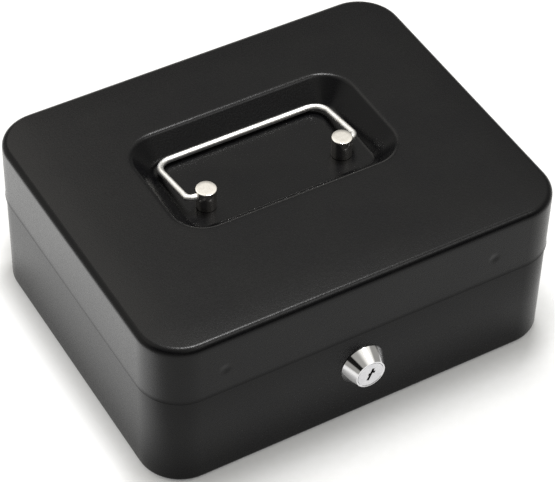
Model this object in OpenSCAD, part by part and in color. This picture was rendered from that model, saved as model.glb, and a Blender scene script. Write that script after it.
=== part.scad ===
// Steel cash box: a drawn base, a hinged lid with a sunk bail handle, a cam lock in the front wall
// and a lift-out coin tray. Millimetres, +Z up, the front faces -Y. The origin is the middle of the
// base's underside.

/* [Box] */
// Width of the lid, left to right
box_w = 200; // [190:1:230]
// Depth of the lid, front to back
box_d = 161; // [152:1:180]
// Height of the closed box
box_h = 82; // [77:1:90]
// Height of the lid's lower edge
seam_z = 50; // [47:1:52]
// Steel sheet thickness of the base and the lid
sheet = 0.8; // [0.6:0.1:1]
// Outer radius of the lid's upright corners
corner_r = 20; // [16:1:24]
// Outer radius of the lid's top edge
lid_edge_r = 3.2; // [2.4:0.2:4]
// Outer radius of the base's bottom edge
base_edge_r = 2.4; // [2:0.2:3.6]
// How far the base's walls stand in from the lid's
base_inset = 0.3; // [0.1:0.1:0.5]
// Height of the base's rim above the seam
rim_h = 6; // [4:0.5:7]
// Gap between the rim and the lid's skirt
rim_gap = 0.4; // [0.3:0.05:0.6]
// Gap between the lid's lower edge and the base's shoulder
seam_gap = 0.3; // [0.2:0.1:0.6]

/* [Handle recess] */
// Width of the recess at the lid's surface
recess_w = 112.6; // [110:0.2:120]
// Depth of the recess, front to back
recess_d = 65.4; // [62:0.2:70]
// Sideways place of the recess's middle
recess_x = 0.1; // [-2:0.1:2]
// How far the recess's middle lies behind the lid's
recess_y = 9.6; // [7:0.1:16]
// Depth of the recess below the lid's surface
recess_depth = 10.5; // [9.5:0.5:12]
// Corner radius of the recess at the lid's surface
recess_r = 16.5; // [15.5:0.5:19]
// Width of the recess's sloping wall
recess_slope = 11.4; // [10:0.2:12.4]
// Outer radius of the bend round the recess's mouth
recess_lip_r = 1.6; // [1.2:0.2:2.4]
// Radius of the bend from the slope to the floor
recess_foot_r = 2; // [1.4:0.2:3]

/* [Bail handle] */
// Sideways place of the posts from the recess's middle
post_side = -0.4; // [-1:0.1:1]
// Distance between the two posts' middles
post_pitch = 67.9; // [66:0.1:70]
// Distance of the posts in front of the recess's middle
post_front = 9.7; // [8:0.1:11]
// Diameter of a post
post_d = 9.4; // [9:0.2:10.4]
// Height of a post above the recess's floor
post_h = 10.2; // [9.4:0.2:10.4]
// Bevel round the top of a post
post_bevel = 0.3; // [0.2:0.1:0.8]
// Distance of the bail's pivot below a post's top
pivot_drop = 2.75; // [2.5:0.05:3.2]
// Diameter of the bail's wire
wire_d = 3; // [2.4:0.1:3.2]
// Distance from a post's side to the middle of the bail's leg
leg_gap = 3.4; // [3.4:0.1:4]
// How far the bar at rest lies in front of the recess's back mouth
bar_front = 11.24; // [11.2:0.02:13]
// Bend radius of the bail's back corners
bail_corner_r = 7.5; // [4:0.5:9]
// Bend radius of the bail's feet at the posts
bail_foot_r = 3.2; // [2.4:0.1:3.2]
// How far a foot reaches into its post
foot_depth = 6; // [4:0.5:6.5]
// Side play of the bail between the ends of its bores
foot_play = 0.8; // [0.4:0.1:0.8]
// Slope of the bail at rest, down towards its bar
bail_droop = 9.6; // [3:0.1:10]
// Diameter of the post screws
post_screw_d = 4; // [3:0.5:4]
// Length of a post screw above the lid's sheet
post_screw_reach = 4.5; // [3.5:0.5:5]
// Diameter of a post screw's head
post_head_d = 7.2; // [6:0.2:8]
// Height of a post screw's head
post_head_h = 2.4; // [1.8:0.2:3]
// Diameter of the washers under the post screws
post_washer_d = 10; // [9:0.5:12]
// Thickness of those washers
post_washer_t = 1; // [0.8:0.1:1.2]

/* [Lock] */
// Sideways place of the lock's axis
lock_x = -2.2; // [-5:0.1:5]
// Height of the lock's axis
lock_z = 30.3; // [28:0.1:31]
// Diameter of the bezel at the wall
bezel_d = 20.9; // [19.5:0.1:24]
// Diameter of the bezel's face
face_d = 14.4; // [14:0.1:16]
// How far the bezel stands out of the wall
bezel_h = 7.1; // [5:0.1:8]
// Diameter of the barrel behind the wall
barrel_d = 16; // [15:0.5:17]
// Length of the barrel behind the wall's outer face
barrel_l = 18.2; // [17:0.2:20]
// Diameter of the plug's head
plug_head_d = 12.4; // [11.6:0.2:12.8]
// Depth of the plug's head
plug_head_l = 2.4; // [2:0.2:3]
// Diameter of the plug behind its head
plug_d = 10.4; // [9.6:0.2:11]
// Radial running clearance of the plug
plug_clear = 0.05; // [0.02:0.01:0.1]
// Side of the square tail that carries the cam
tail_w = 6; // [5:0.5:6.5]
// Height of the key slot
slot_h = 6.8; // [6:0.2:7.4]
// Width of the key slot
slot_w = 1.3; // [1:0.1:1.6]
// Sideways step of the key slot's ward
slot_step = 1.1; // [0.8:0.1:1.4]
// Tilt of the key slot, clockwise from upright
slot_tilt = 24; // [0:1:45]
// Number of wafers
wafers = 5; // [3:1:5]
// Thickness of a wafer
wafer_t = 1; // [0.8:0.1:1.2]
// Distance from wafer to wafer
wafer_pitch = 2.2; // [1.8:0.1:2.4]
// Width of a wafer
wafer_w = 4.6; // [4:0.1:5]
// Thickness of the cam
cam_t = 2; // [1.5:0.1:2.4]
// Width of the cam's arm
cam_w = 8; // [7:0.5:9]
// Radial width of the cam's hook
hook_w = 4.4; // [3.5:0.1:5]
// Gap between the keeper tab and the cam's hook
hook_gap = 0.6; // [0.4:0.1:1]
// Width of the cam's hub beyond its washer
cam_hub = 1; // [0.6:0.1:1.4]
// Thickness of the spring washer behind the wall
lock_washer_t = 0.8; // [0.6:0.1:1]
// Diameter of that washer
lock_washer_d = 21.5; // [20:0.5:23]
// Width of the lock nut across its corners
nut_d = 23; // [21:0.5:24]
// Thickness of the lock nut
nut_t = 4; // [3:0.5:5]
// Diameter of the cam screw
cam_screw_d = 3; // [2.5:0.1:3.4]
// Length of the cam screw in the plug
cam_screw_reach = 3.2; // [2.5:0.1:3.6]
// Diameter of the cam screw's head
cam_head_d = 6.4; // [5.6:0.2:7]
// Height of the cam screw's head
cam_head_h = 2; // [1.6:0.2:2.4]
// Diameter of the cam's washer
cam_washer_d = 10; // [9:0.5:11]
// Thickness of the cam's washer
cam_washer_t = 0.8; // [0.6:0.1:1]

/* [Lid catch] */
// Sideways place of the catch strip's middle
catch_x = -3.5; // [-4:0.1:4]
// Length of the catch strip
catch_w = 145; // [138:1:150]
// Height of the catch strip
catch_h = 12; // [10:0.5:13]
// Thickness of the catch strip
catch_t = 1; // [0.8:0.1:1.2]
// Distance between the spot welds
weld_pitch = 131.5; // [126:0.5:134]
// Height of the spot welds above the seam
weld_z = 13.2; // [11:0.2:15]
// Radius of a weld's dimple
weld_r = 1.8; // [1.2:0.1:2.2]
// Depth of a weld's dimple
weld_sink = 0.3; // [0.2:0.05:0.4]
// Width of the keeper tab
keeper_w = 8; // [7:0.5:9]
// Height of the keeper tab above the seam
keeper_rise = 0.5; // [0.3:0.1:0.8]
// Gap between the top of the base's rim and the catch strip
catch_gap = 2; // [1:0.1:2.5]
// Gap between the cam's arm and the keeper tab
keeper_gap = 1; // [0.8:0.1:1.4]
// How far the keeper tab reaches past the cam
keeper_over = 2.4; // [1.5:0.1:3]

/* [Hinge] */
// Gap between the lid's back wall and the knuckles
hinge_gap = 0.3; // [0.2:0.1:0.5]
// Length of the hinge, knuckle to knuckle
hinge_l = 140; // [126:1:145]
// Number of knuckles
knuckles = 7; // [5:2:9]
// Diameter of the knuckles
knuckle_d = 4; // [3.8:0.1:4.4]
// Diameter of the hinge pin
pin_d = 2.5; // [2:0.1:2.6]
// Radial running clearance of the pin
pin_clear = 0.05; // [0.03:0.01:0.1]
// Side gap between two knuckles
knuckle_gap = 0.3; // [0.2:0.1:0.5]
// Gap between a leaf's plate and the other leaf's knuckles
leaf_gap = 0.6; // [0.4:0.1:1]
// Thickness of the hinge leaves
leaf_t = 0.8; // [0.7:0.1:1]
// Height of a leaf from the pin's axis
leaf_h = 14; // [12:0.5:15]
// Length of a stop ledge, out from the wall
stop_l = 11; // [10:0.5:12]
// Width of a stop ledge
stop_w = 7; // [5:0.5:7]
// Thickness of a pin head
pin_head_t = 0.8; // [0.6:0.1:1]
// Number of rivets in each leaf
rivets = 4; // [3:1:5]
// Diameter of a rivet's shank
rivet_d = 2.4; // [2:0.1:2.8]
// Diameter of a rivet's head
rivet_head_d = 4.8; // [4:0.2:5.4]
// Height of a rivet's head
rivet_head_h = 1; // [0.7:0.1:1.2]
// Distance of the rivets from the pin's axis
rivet_z = 9; // [8.5:0.25:10]

/* [Coin tray] */
// Gap between the tray's rim and the base's rim
tray_gap = 2.2; // [1.6:0.1:2.6]
// Further gap behind the tray, for the rivets' heads
tray_back_gap = 1.5; // [1:0.1:2]
// Depth of the tray, front to back
tray_d = 125; // [118:1:127]
// Height of the tray
tray_h = 28; // [24:1:30]
// Wall thickness of the tray
tray_t = 1.8; // [1.4:0.1:2.4]
// Width of the tray's rim
tray_rim = 5; // [4.5:0.5:6]
// Thickness of the tray's rim
tray_rim_t = 2; // [1.5:0.1:2.5]
// Number of coin cups
cups = 4; // [3:1:5]
// Depth of the coin cups, front to back
cup_d = 62; // [55:1:66]
// Radius of the scooped ends of a coin cup
cup_r = 18; // [12:1:20]
// Radius of the bends at the ends of a note pocket
note_r = 4; // [2:0.5:8]
// Width of the ledges that carry the tray
ledge_w = 6; // [5:0.5:7]
// Thickness of the ledges
ledge_t = 1; // [0.8:0.1:1.2]
// Height of a ledge's web on the wall
ledge_h = 12; // [8:1:14]
// Length of the ledges
ledge_l = 88; // [70:1:92]
// Height of the ledges' top
ledge_z = 46; // [44:0.5:46]

/* [Hidden] */
$fn = 64;

// Small amounts
eps = 0.01;
cut = 1;
face_gap = 0.1;
slip = 0.1;

// Outlines of the base and the lid, measured to their outer faces
lid_x = box_w / 2;
lid_y = box_d / 2;
base_x = lid_x - base_inset;
base_y = lid_y - base_inset;
base_r = corner_r - base_inset;
rim_in = sheet + rim_gap - base_inset;
rim_x = base_x - rim_in;
rim_r = base_r - rim_in;
shoulder_z = seam_z - seam_gap;
rim_top = seam_z + rim_h;

// Handle recess
floor_z = box_h - recess_depth;
under_z = floor_z - sheet;
bore_clear = 0.1;
tap_clear = 0.05;
post_x = recess_x + post_side;
post_y = recess_y - post_front;
pivot_z = floor_z + post_h - pivot_drop;
bail_x = post_x - foot_play + face_gap;
bail_w = post_pitch + post_d + 2 * leg_gap;
bail_l = (recess_y + recess_d / 2 - bar_front - post_y) / cos(bail_droop);

// Lock
wall_y = -base_y;
wall_in = wall_y + sheet;
barrel_end = wall_y + barrel_l;
face_y = wall_y - bezel_h;
plug_head_r = plug_head_d / 2;
plug_r = plug_d / 2;
plug_front = face_y + face_gap;
cam_y = barrel_end + face_gap;
cam_end = cam_y + cam_t;
cam_turn = 90;

// Keeper tab on the catch strip; the hook passes over it
leg_y = wall_in + rim_in + rim_gap + sheet;
keeper_x = cam_w / 2 + keeper_gap;
keeper_z = seam_z + keeper_rise;
keeper_top = keeper_z + catch_t;
catch_z = rim_top + catch_gap;
catch_y = -lid_y + sheet;
tab_rise = keeper_top - lock_z;
tab_far = keeper_x + keeper_w;
hook_r = sqrt(tab_far * tab_far + tab_rise * tab_rise) + hook_gap;
hook_out = hook_r + hook_w;
hook_angle = atan(tab_far / tab_rise);

// Hinge
knuckle_r = knuckle_d / 2;
axis_y = lid_y + knuckle_r + hinge_gap;
axis_z = seam_z;
pin_r = pin_d / 2;
knuckle_l = hinge_l / knuckles;
rivet_step = (hinge_l - knuckle_l) / (rivets - 1);

// Coin tray, behind the lock
tray_x = rim_x - sheet - tray_gap;
tray_back = base_y - rim_in - sheet - tray_gap - tray_back_gap;
tray_front = tray_back - tray_d;
tray_mid = (tray_front + tray_back) / 2;
tray_r = rim_r - sheet - tray_gap;
tray_top = ledge_z + tray_rim_t;
body_x = tray_x - tray_rim;
body_r = tray_r - tray_rim;

// The upright outline of a box, as a flat shape
module rounded(half_x, half_y, r) {
    square([2 * (half_x - r), 2 * half_y], center = true);
    square([2 * half_x, 2 * (half_y - r)], center = true);
    for (sx = [-1, 1], sy = [-1, 1])
        translate([sx * (half_x - r), sy * (half_y - r)])
            circle(r);
}

// Carries a wall section round a rounded outline. The section is drawn in x and y: x runs outwards
// from the corner's centre, y is the height. Its inner end, at x = 0, meets the flat middle.
module carry_round(half_x, half_y, r) {
    for (i = [0:3]) {
        sx = (i == 0 || i == 3) ? 1 : -1;
        sy = (i < 2) ? 1 : -1;
        translate([sx * (half_x - r), sy * (half_y - r), 0])
            rotate([0, 0, 90 * i])
                rotate_extrude(angle = 90)
                    children();
    }
    for (s = [0, 180])
        rotate([0, 0, s]) {
            translate([half_x - r, half_y - r, 0])
                rotate([90, 0, 0])
                    linear_extrude(2 * (half_y - r))
                        children();
            translate([-half_x + r, half_y - r, 0])
                rotate([90, 0, 90])
                    linear_extrude(2 * (half_x - r))
                        children();
        }
}

// A quarter ring between two radii, in the quarter that its two signs name
module quarter(r, t, sx, sy) {
    intersection() {
        difference() {
            circle(r);
            circle(r - t);
        }
        translate([sx > 0 ? 0 : -r, sy > 0 ? 0 : -r])
            square(r);
    }
}

// Part of a ring, from the angle a0 on through a, which is under 90 degrees
module ring_part(r_out, r_in, a0, a) {
    intersection() {
        difference() {
            circle(r_out);
            circle(r_in);
        }
        polygon([
            [0, 0], 2 * r_out * [cos(a0), sin(a0)],
            3 * r_out * [cos(a0 + a / 2), sin(a0 + a / 2)], 2 * r_out * [cos(a0 + a), sin(a0 + a)]
        ]);
    }
}

// Places a piece of the lock: its own z runs inwards from y along the lock's axis
module along_y(y) {
    translate([lock_x, y, lock_z])
        rotate([-90, 0, 0])
            children();
}

// Base ---------------------------------------------------------------------------------------

module base_section() {
    square([base_r - base_edge_r, sheet]);
    translate([base_r - base_edge_r, base_edge_r])
        quarter(base_edge_r, sheet, 1, -1);
    translate([base_r - sheet, base_edge_r])
        square([sheet, shoulder_z - base_edge_r]);
    translate([rim_r - sheet, shoulder_z - sheet])
        square([rim_in + sheet, sheet]);
    translate([rim_r - sheet, shoulder_z - sheet])
        square([sheet, rim_top - shoulder_z + sheet]);
}

module base_shell() {
    color("#2b2b2d")
        difference() {
            union() {
                carry_round(base_x, base_y, base_r)
                    base_section();
                translate([0, 0, sheet / 2])
                    cube([2 * (base_x - base_r), 2 * (base_y - base_r), sheet], center = true);
            }
            along_y(wall_y - cut)
                cylinder(r = barrel_d / 2 + slip, h = sheet + 2 * cut);
            rivet_places(-rivet_z)
                cylinder(r = rivet_d / 2, h = 4 * cut + 2 * sheet, center = true);
        }
}

// Hinge --------------------------------------------------------------------------------------

module rivet_places(dz) {
    for (i = [0:rivets - 1])
        translate([(i - (rivets - 1) / 2) * rivet_step, base_y, axis_z + dz])
            rotate([90, 0, 0])
                children();
}

// Knuckles of one leaf: the even ones belong to the base, the odd ones to the lid
module knuckle_row(first) {
    for (i = [first:2:knuckles - 1])
        translate([(i - knuckles / 2) * knuckle_l + knuckle_gap / 2, 0, 0])
            children();
}

module knuckle_barrel() {
    translate([0, axis_y, axis_z])
        rotate([0, 90, 0])
            cylinder(r = knuckle_r, h = knuckle_l - knuckle_gap);
}

module pin_bore() {
    translate([0, axis_y, axis_z])
        rotate([0, 90, 0])
            cylinder(r = pin_r + pin_clear, h = hinge_l + 2 * cut, center = true);
}

// A leaf's plate on the wall at y, on the side of the axis that s names, with its knuckles' webs
module leaf_plate(y, s, first) {
    clear_z = knuckle_r + leaf_gap;
    low = s < 0 ? axis_z - leaf_h : axis_z + clear_z;
    translate([-hinge_l / 2, y, low])
        cube([hinge_l, leaf_t, leaf_h - clear_z]);
    knuckle_row(first) {
        translate([0, y, s < 0 ? axis_z - clear_z - eps : axis_z + seam_gap])
            cube([knuckle_l - knuckle_gap, axis_y - y, clear_z + eps - seam_gap]);
        knuckle_barrel();
    }
}

module stop_ledge() {
    r = stop_w / 2;
    cube([stop_w, stop_l - r, leaf_t]);
    translate([r, stop_l - r, 0])
        cylinder(r = r, h = leaf_t);
}

// The stop ledges beside the knuckles carry the lid's back wall when it is open
module base_hinge_leaf() {
    low = axis_z - leaf_h;
    stop_x = hinge_l / 2 + face_gap + pin_head_t + knuckle_gap;
    color("#303033")
        difference() {
            union() {
                leaf_plate(base_y, -1, 0);
                for (s = [0, 1])
                    mirror([s, 0, 0]) {
                        translate([hinge_l / 2 - eps, base_y, low])
                            cube([stop_x - hinge_l / 2 + stop_w, leaf_t, leaf_h - knuckle_r - leaf_gap]);
                        translate([stop_x, base_y, low])
                            cube([stop_w, leaf_t, shoulder_z - low]);
                        translate([stop_x, base_y, shoulder_z - leaf_t])
                            stop_ledge();
                    }
            }
            pin_bore();
            rivet_places(-rivet_z)
                cylinder(r = rivet_d / 2, h = 4 * leaf_t + 4 * cut, center = true);
        }
}

module lid_hinge_leaf() {
    color("#303033")
        difference() {
            leaf_plate(lid_y, 1, 1);
            pin_bore();
            rivet_places(rivet_z)
                cylinder(r = rivet_d / 2, h = 4 * leaf_t + 4 * cut, center = true);
        }
}

module hinge_pin() {
    color("silver")
        translate([0, axis_y, axis_z])
            rotate([0, 90, 0]) {
                cylinder(r = pin_r, h = hinge_l + 2 * face_gap, center = true);
                for (s = [-1, 1])
                    translate([0, 0, s * (hinge_l / 2 + face_gap + pin_head_t / 2)])
                        cylinder(r = knuckle_r - 2 * face_gap, h = pin_head_t, center = true);
            }
}

// Rivets through a leaf whose outer face lies at y_out, and a wall whose inner face lies at y_in
module rivet_row(dz, y_out, y_in) {
    rivet_places(dz) {
        translate([0, 0, base_y - y_out])
            cylinder(r = rivet_d / 2, h = y_out - y_in);
        translate([0, 0, base_y - y_out - rivet_head_h])
            cylinder(r1 = rivet_head_d / 2 - rivet_head_h / 2, r2 = rivet_head_d / 2, h = rivet_head_h);
        translate([0, 0, base_y - y_in])
            cylinder(r = rivet_head_d / 2, h = rivet_head_h / 2);
    }
}

module base_rivets() {
    color("silver")
        rivet_row(-rivet_z, base_y + leaf_t, base_y - sheet);
}

module lid_rivets() {
    color("silver")
        rivet_row(rivet_z, lid_y + leaf_t, lid_y - sheet);
}

// Lid ----------------------------------------------------------------------------------------

module lid_section() {
    translate([0, box_h - sheet])
        square([corner_r - lid_edge_r, sheet]);
    translate([corner_r - lid_edge_r, box_h - lid_edge_r])
        quarter(lid_edge_r, sheet, 1, 1);
    translate([corner_r - sheet, seam_z])
        square([sheet, box_h - lid_edge_r - seam_z]);
}

// The recess's sheet: the floor, the bend at its foot, the slope, and the bend over its mouth
module recess_section() {
    bends = recess_lip_r + recess_foot_r;
    drop = recess_depth - bends;
    span = sqrt(drop * drop + recess_slope * recess_slope);
    a = acos(-bends / span) - atan2(recess_slope, drop);
    foot_x = recess_r - recess_slope;
    joint = eps * [cos(a), sin(a)];
    foot_end = [foot_x + recess_foot_r * sin(a), floor_z + recess_foot_r * (1 - cos(a))] - joint;
    lip_end = [recess_r - recess_lip_r * sin(a), box_h - recess_lip_r * (1 - cos(a))] + joint;
    through = sheet * [sin(a), -cos(a)];
    translate([0, under_z])
        square([foot_x, sheet]);
    translate([foot_x, floor_z + recess_foot_r])
        ring_part(recess_foot_r + sheet, recess_foot_r, -90, a);
    polygon([foot_end, lip_end, lip_end + through, foot_end + through]);
    translate([recess_r, box_h - recess_lip_r])
        ring_part(recess_lip_r, recess_lip_r - sheet, 90, a);
    translate([recess_r, box_h - sheet])
        square([eps, sheet]);
}

module lid_shell() {
    color("#2b2b2d")
        difference() {
            union() {
                difference() {
                    union() {
                        carry_round(lid_x, lid_y, corner_r)
                            lid_section();
                        translate([0, 0, box_h - sheet / 2])
                            cube([2 * (lid_x - corner_r), 2 * (lid_y - corner_r), sheet], center = true);
                    }
                    translate([recess_x, recess_y, box_h - sheet - cut])
                        linear_extrude(sheet + 2 * cut)
                            rounded(recess_w / 2, recess_d / 2, recess_r);
                }
                translate([recess_x, recess_y, 0]) {
                    carry_round(recess_w / 2, recess_d / 2, recess_r)
                        recess_section();
                    translate([0, 0, under_z + sheet / 2])
                        cube([recess_w - 2 * recess_r, recess_d - 2 * recess_r, sheet], center = true);
                }
            }
            post_places()
                translate([0, 0, under_z - cut])
                    cylinder(r = post_screw_d / 2 + slip, h = sheet + 2 * cut);
            rivet_places(rivet_z)
                cylinder(r = rivet_d / 2, h = 4 * cut + 2 * sheet, center = true);
            for (s = [-1, 1])
                translate([catch_x + s * weld_pitch / 2, -lid_y - cut, seam_z + weld_z])
                    rotate([-90, 0, 0])
                        cylinder(r = weld_r, h = cut + weld_sink);
        }
}

module lid_catch() {
    color("#3a3a3c") {
        translate([catch_x - catch_w / 2, catch_y, catch_z])
            cube([catch_w, catch_t, catch_h]);
        translate([lock_x + keeper_x, catch_y, catch_z])
            cube([keeper_w, leg_y + catch_t - catch_y, catch_t]);
        translate([lock_x + keeper_x, leg_y, keeper_z])
            cube([keeper_w, catch_t, catch_z + catch_t - keeper_z]);
        translate([lock_x + keeper_x, leg_y, keeper_z])
            cube([keeper_w, cam_end + keeper_over - leg_y, catch_t]);
    }
}

// Handle -------------------------------------------------------------------------------------

module post_places() {
    for (s = [-1, 1])
        translate([post_x + s * post_pitch / 2, post_y, 0])
            children();
}

// A post at the side that s names, bored across for the bail and tapped from below
module handle_post(s) {
    color("gainsboro")
        translate([post_x + s * post_pitch / 2, post_y, 0])
            difference() {
                union() {
                    translate([0, 0, floor_z])
                        cylinder(r = post_d / 2, h = post_h - post_bevel);
                    translate([0, 0, floor_z + post_h - post_bevel])
                        cylinder(r1 = post_d / 2, r2 = post_d / 2 - post_bevel, h = post_bevel);
                }
                translate([s * (post_d / 2 - foot_depth - foot_play), 0, pivot_z])
                    rotate([0, s * 90, 0])
                        cylinder(r = wire_d / 2 + bore_clear, h = foot_depth + foot_play + cut);
                translate([0, 0, floor_z - cut])
                    cylinder(r = post_screw_d / 2 + tap_clear, h = post_screw_reach - sheet + slip + cut);
            }
}

module handle_post_left() {
    handle_post(-1);
}

module handle_post_right() {
    handle_post(1);
}

module post_washers() {
    color("silver")
        post_places()
            translate([0, 0, under_z - post_washer_t])
                difference() {
                    cylinder(r = post_washer_d / 2, h = post_washer_t);
                    translate([0, 0, -cut])
                        cylinder(r = post_screw_d / 2 + slip, h = post_washer_t + 2 * cut);
                }
}

module post_screws() {
    head_z = under_z - post_washer_t - post_head_h;
    color("silver")
        post_places()
            difference() {
                union() {
                    translate([0, 0, head_z])
                        cylinder(r = post_head_d / 2, h = post_head_h);
                    translate([0, 0, head_z])
                        cylinder(r = post_screw_d / 2, h = post_head_h + post_washer_t + post_screw_reach);
                }
                translate([0, 0, head_z - cut])
                    cylinder(r = post_screw_d / 2, h = cut + post_head_h / 2, $fn = 6);
            }
}

// Half of the bail, on the side of positive x, lying flat with its pivot on the x axis
module bail_half() {
    x = bail_w / 2;
    foot_x = post_pitch / 2 + post_d / 2 - foot_depth;
    r = wire_d / 2;
    translate([foot_x, 0, 0])
        rotate([0, 90, 0])
            cylinder(r = r, h = x - bail_foot_r - foot_x);
    translate([x - bail_foot_r, bail_foot_r, 0])
        rotate([0, 0, -90])
            rotate_extrude(angle = 90)
                translate([bail_foot_r, 0])
                    circle(r);
    translate([x, bail_foot_r, 0])
        rotate([-90, 0, 0])
            cylinder(r = r, h = bail_l - bail_foot_r - bail_corner_r);
    translate([x - bail_corner_r, bail_l - bail_corner_r, 0])
        rotate_extrude(angle = 90)
            translate([bail_corner_r, 0])
                circle(r);
    translate([0, bail_l, 0])
        rotate([0, 90, 0])
            cylinder(r = r, h = x - bail_corner_r);
}

module handle_bail() {
    color("gainsboro")
        translate([bail_x, post_y, pivot_z])
            rotate([-bail_droop, 0, 0]) {
                bail_half();
                mirror([1, 0, 0])
                    bail_half();
            }
}

// Lock ---------------------------------------------------------------------------------------

module lock_barrel() {
    color("gainsboro")
        difference() {
            union() {
                along_y(face_y)
                    cylinder(r1 = face_d / 2, r2 = bezel_d / 2, h = bezel_h);
                along_y(wall_y - eps)
                    cylinder(r = barrel_d / 2, h = barrel_l + eps);
            }
            along_y(face_y - cut)
                cylinder(r = plug_head_r + plug_clear, h = plug_head_l + face_gap + cut);
            along_y(face_y)
                cylinder(r = plug_r + plug_clear, h = bezel_h + barrel_l + cut);
        }
}

module lock_washer() {
    color("silver")
        along_y(wall_in)
            difference() {
                cylinder(r = lock_washer_d / 2, h = lock_washer_t);
                translate([0, 0, -cut])
                    cylinder(r = barrel_d / 2 + slip, h = lock_washer_t + 2 * cut);
            }
}

module lock_nut() {
    color("silver")
        along_y(wall_in + lock_washer_t)
            difference() {
                cylinder(r = nut_d / 2, h = nut_t, $fn = 6);
                translate([0, 0, -cut])
                    cylinder(r = barrel_d / 2 + slip, h = nut_t + 2 * cut);
            }
}

// The key slot's outline: two straight runs, joined by a step to the side
module key_slot() {
    square([slot_w, slot_h], center = true);
    translate([slot_w / 2 - eps, -slot_h / 2 + slot_w])
        square([slot_step, slot_w]);
    translate([-slot_w / 2 - slot_step / 2, -slot_w / 2])
        square([slot_step, slot_w]);
}

module wafer_places() {
    first = plug_front + plug_head_l + wafer_t;
    for (i = [0:wafers - 1])
        along_y(first + i * wafer_pitch)
            rotate([0, 0, slot_tilt])
                children();
}

module lock_plug() {
    slot_l = plug_head_l + wafer_t + wafers * wafer_pitch + wafer_t;
    color("lightgray")
        difference() {
            union() {
                along_y(plug_front)
                    cylinder(r = plug_head_r, h = plug_head_l);
                along_y(plug_front)
                    cylinder(r = plug_r, h = barrel_end - plug_front);
                along_y(barrel_end - eps)
                    translate([0, 0, (face_gap + cam_t) / 2])
                        cube([tail_w, tail_w, face_gap + cam_t], center = true);
            }
            along_y(plug_front - cut)
                rotate([0, 0, slot_tilt])
                    linear_extrude(slot_l + cut)
                        key_slot();
            wafer_places()
                linear_extrude(wafer_t + 2 * plug_clear)
                    square([wafer_w + 2 * plug_clear, slot_h + slot_w + 2 * plug_clear], center = true);
            along_y(cam_end - cam_screw_reach - slip)
                cylinder(r = cam_screw_d / 2 + tap_clear, h = cam_screw_reach + cut);
        }
}

module lock_wafers() {
    color("goldenrod")
        wafer_places()
            translate([0, 0, plug_clear])
                linear_extrude(wafer_t)
                    difference() {
                        square([wafer_w, slot_h + slot_w], center = true);
                        square([slot_w + slot_step, slot_h - 2 * slot_w], center = true);
                    }
}

// The cam at rest points to the left and its hook opens upwards; turned, it stands over the keeper
module lock_cam() {
    hub_r = cam_washer_d / 2 + cam_hub;
    color("silver")
        along_y(cam_y)
            rotate([0, 0, -cam_turn])
                difference() {
                    union() {
                        cylinder(r = hub_r, h = cam_t);
                        translate([-cam_w / 2, -hook_out + cam_w / 2, 0])
                            cube([cam_w, hook_out - cam_w / 2, cam_t]);
                        intersection() {
                            difference() {
                                cylinder(r = hook_out, h = cam_t);
                                translate([0, 0, -cut])
                                    cylinder(r = hook_r, h = cam_t + 2 * cut);
                            }
                            linear_extrude(cam_t)
                                polygon([
                                    [-cam_w / 2, 0], [-cam_w / 2, -2 * hook_out],
                                    [2 * hook_out * tan(hook_angle), -2 * hook_out], [cam_w / 4, 0]
                                ]);
                        }
                    }
                    translate([0, 0, cam_t / 2])
                        cube([tail_w + slip, tail_w + slip, cam_t + cut], center = true);
                }
}

module cam_washer() {
    color("silver")
        along_y(cam_end)
            difference() {
                cylinder(r = cam_washer_d / 2, h = cam_washer_t);
                translate([0, 0, -cut])
                    cylinder(r = cam_screw_d / 2 + slip, h = cam_washer_t + 2 * cut);
            }
}

module cam_screw() {
    color("silver")
        difference() {
            union() {
                along_y(cam_end - cam_screw_reach)
                    cylinder(r = cam_screw_d / 2, h = cam_screw_reach + cam_washer_t + cam_head_h);
                along_y(cam_end + cam_washer_t)
                    cylinder(r = cam_head_d / 2, h = cam_head_h);
            }
            along_y(cam_end + cam_washer_t + cam_head_h / 2)
                translate([0, 0, cut / 2 + cam_head_h / 4])
                    cube([cam_head_d + cut, cam_head_h / 3, cam_head_h / 2 + cut], center = true);
        }
}

// Coin tray ----------------------------------------------------------------------------------

module tray_ledge(s) {
    inner_x = base_x - sheet;
    x = s < 0 ? -inner_x : inner_x - ledge_t;
    shelf_x = s < 0 ? -inner_x : inner_x - ledge_w;
    color("#303033") {
        translate([x, tray_mid - ledge_l / 2, ledge_z - ledge_h])
            cube([ledge_t, ledge_l, ledge_h]);
        translate([shelf_x, tray_mid - ledge_l / 2, ledge_z - ledge_t])
            cube([ledge_w, ledge_l, ledge_t]);
    }
}

module tray_ledge_left() {
    tray_ledge(-1);
}

module tray_ledge_right() {
    tray_ledge(1);
}

// A pocket that is open at the top, with scooped front and back ends
module cup(x, w, y, d, r) {
    depth = tray_h - tray_t;
    low = tray_top - depth;
    translate([x, y, low])
        rotate([90, 0, 90])
            linear_extrude(w) {
                translate([r, 0])
                    square([d - 2 * r, depth + cut]);
                translate([0, r])
                    square([d, depth - r + cut]);
                for (cy = [r, d - r])
                    translate([cy, r])
                        circle(r);
            }
}

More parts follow.
